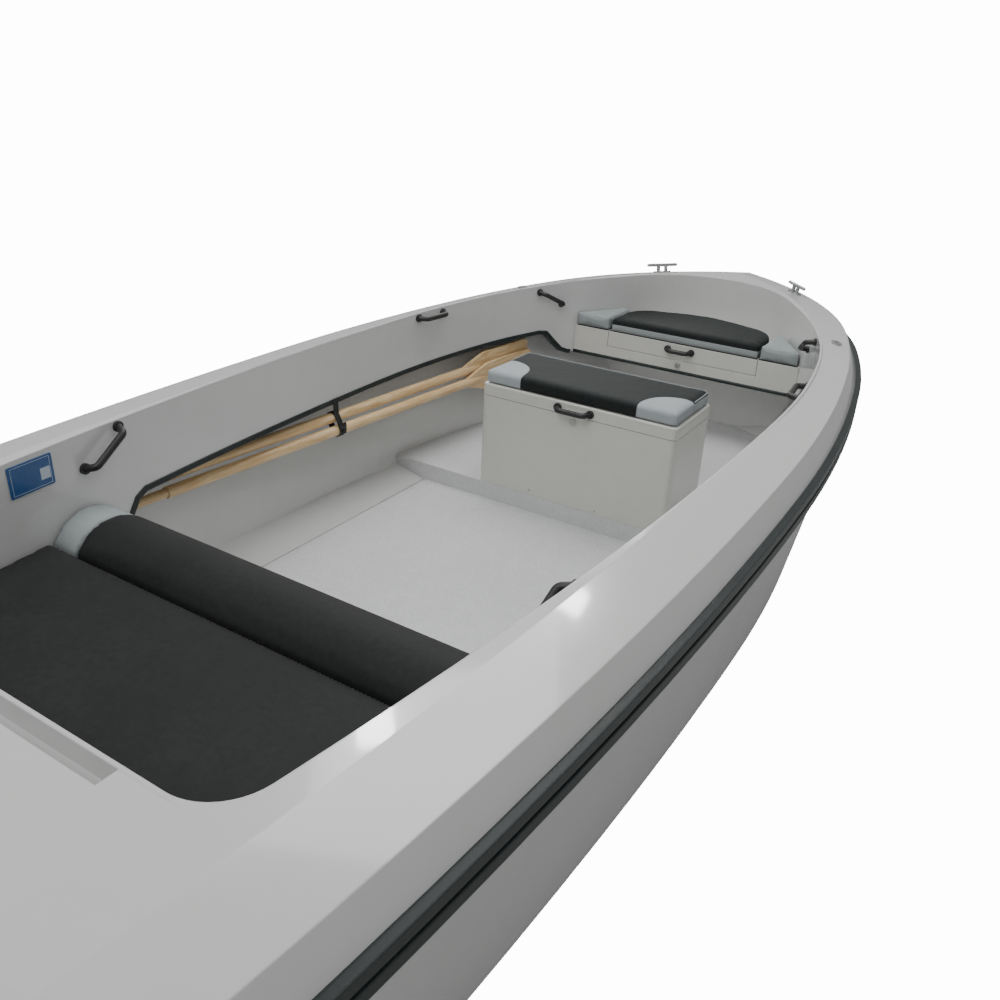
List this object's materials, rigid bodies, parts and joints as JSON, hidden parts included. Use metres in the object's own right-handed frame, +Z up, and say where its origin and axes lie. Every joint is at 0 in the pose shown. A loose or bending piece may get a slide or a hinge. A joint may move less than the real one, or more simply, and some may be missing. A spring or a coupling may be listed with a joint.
{
  "type": "open motorboat with outboard motor",
  "caption": "Open runabout hull with gunwale deck, lidded seat box, bow and stern benches with cushions, stowed oars, rub rail and a tilting outboard motor.",
  "frame": {"origin": "on the waterline, on the centre line, near the middle of the boat", "axes": "+X forward to the bow, +Y to port, +Z up"},
  "size_m": [4.922, 1.87, 1.16],
  "materials": {
    "gelcoat": "gloss",
    "deck_grip": "fine non-slip",
    "rubber": "matte",
    "charcoal_vinyl": "fine grain",
    "grey_vinyl": "fine grain",
    "black_plastic": "satin",
    "webbing": "woven",
    "steel": "satin",
    "cleat_metal": "satin",
    "pine": "varnished",
    "plate": "gloss",
    "motor_paint": "gloss",
    "cowl": "gloss"
  },
  "bodies": {
    "root": {"transom": "gelcoat", "hull_bottom": "gelcoat", "hull_side_port": "gelcoat", "hull_side_starboard": "gelcoat", "aft_deck": "gelcoat", "foredeck": "gelcoat", "gunwale_port": "gelcoat", "gunwale_starboard": "gelcoat", "inner_wall_port": "gelcoat", "inner_wall_starboard": "gelcoat", "sole": "deck_grip", "bow_bulkhead": "gelcoat", "stern_bench": "gelcoat", "motor_well": "gelcoat", "rub_rail": "rubber", "pocket_edging": "rubber", "bow_seat": "gelcoat", "bow_lid_hinge": "steel", "bow_cushion_ends": "grey_vinyl", "stern_cushion": "charcoal_vinyl", "stern_roll": "charcoal_vinyl", "stern_roll_ends": "grey_vinyl", "seat_box": "gelcoat", "box_hinge_pins": "steel", "box_lock": "steel", "bow_lock": "steel", "oar_strap": "webbing", "strap_buckle": "black_plastic", "side_plate": "plate", "bow_eye": "steel", "stern_eyes": "steel", "drain_plug": "black_plastic", "motor_clamp": "motor_paint", "cleats": "cleat_metal", "oarlock_sockets": "steel", "oar_lower": "pine", "oar_upper": "pine", "grab_handles_aft": "black_plastic", "grab_handles_middle": "black_plastic", "grab_handles_forward": "black_plastic"},
    "box_lid": {"box_lid": "gelcoat", "box_cushion": "charcoal_vinyl", "box_hinge_leaves": "steel", "box_lid_handle": "black_plastic"},
    "bow_lid": {"bow_lid": "gelcoat", "bow_cushion_middle": "charcoal_vinyl", "bow_lid_handle": "black_plastic"},
    "motor_tilt": {"motor_swivel": "motor_paint"},
    "motor_steer": {"motor_leg": "motor_paint", "motor_gearcase": "motor_paint", "motor_cowl": "cowl"},
    "propeller": {"propeller": "cleat_metal"}
  },
  "joints": [
    {"name": "box_lid_hinge", "type": "hinge", "parent": "root", "child": "box_lid", "pos_m": [0.68, 0, 0.436], "axis": [0, 1, 0], "range_deg": [0, 95]},
    {"name": "bow_lid_hinge", "type": "hinge", "parent": "root", "child": "bow_lid", "pos_m": [1.706, 0, 0.482], "axis": [0, 1, 0], "range_deg": [0, 50]},
    {"name": "motor_tilt", "type": "hinge", "parent": "root", "child": "motor_tilt", "pos_m": [-2.28181, 0, 0.42], "axis": [0, 1, 0], "range_deg": [0, 60]},
    {"name": "motor_steer", "type": "hinge", "parent": "motor_tilt", "child": "motor_steer", "pos_m": [-2.34381, 0, 0.3], "axis": [0, 0, 1], "range_deg": [-35, 35]},
    {"name": "propeller_spin", "type": "hinge", "parent": "motor_steer", "child": "propeller", "pos_m": [-2.56181, 0, -0.31], "axis": [1, 0, 0], "continuous": true}
  ]
}
